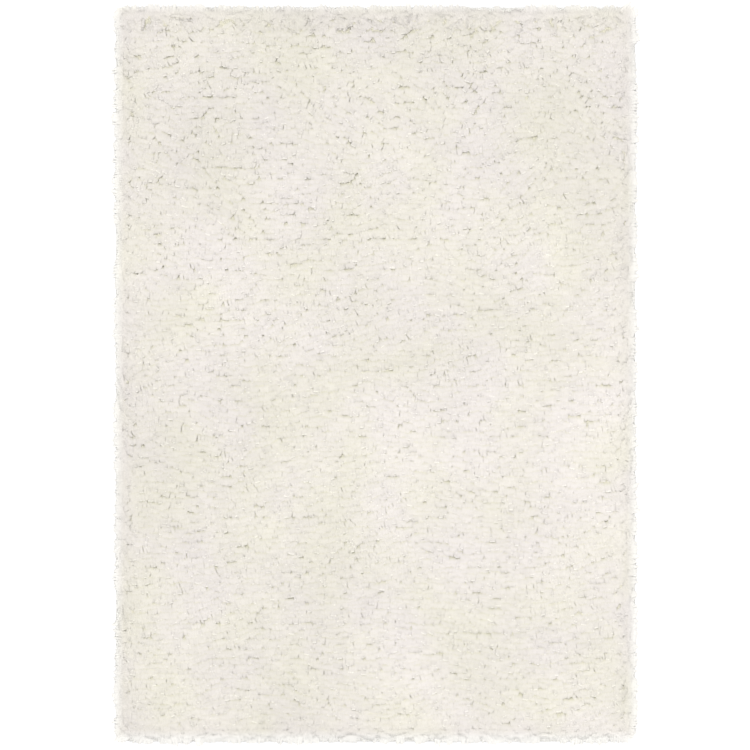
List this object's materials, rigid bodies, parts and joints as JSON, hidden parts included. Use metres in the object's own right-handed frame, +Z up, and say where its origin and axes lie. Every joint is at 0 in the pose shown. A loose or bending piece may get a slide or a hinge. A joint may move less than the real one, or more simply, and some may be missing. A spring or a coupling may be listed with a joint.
{
  "type": "shag rug",
  "caption": "Rectangular ivory shag rug lying flat: deep cut pile that leans in lumpy locks and splays past a woven ground cloth on every side.",
  "frame": {"origin": "on the floor under the middle of the rug, at the centre of its flat underside", "axes": "+X across the rug, +Y along it, towards the top of the picture, +Z up out of the pile"},
  "size_m": [1.651, 2.3312, 0.051],
  "materials": {
    "ivory_pile": "matte",
    "ground_cloth": "matte"
  },
  "bodies": {
    "root": {"shag_rug": "ivory_pile"}
  },
  "joints": []
}
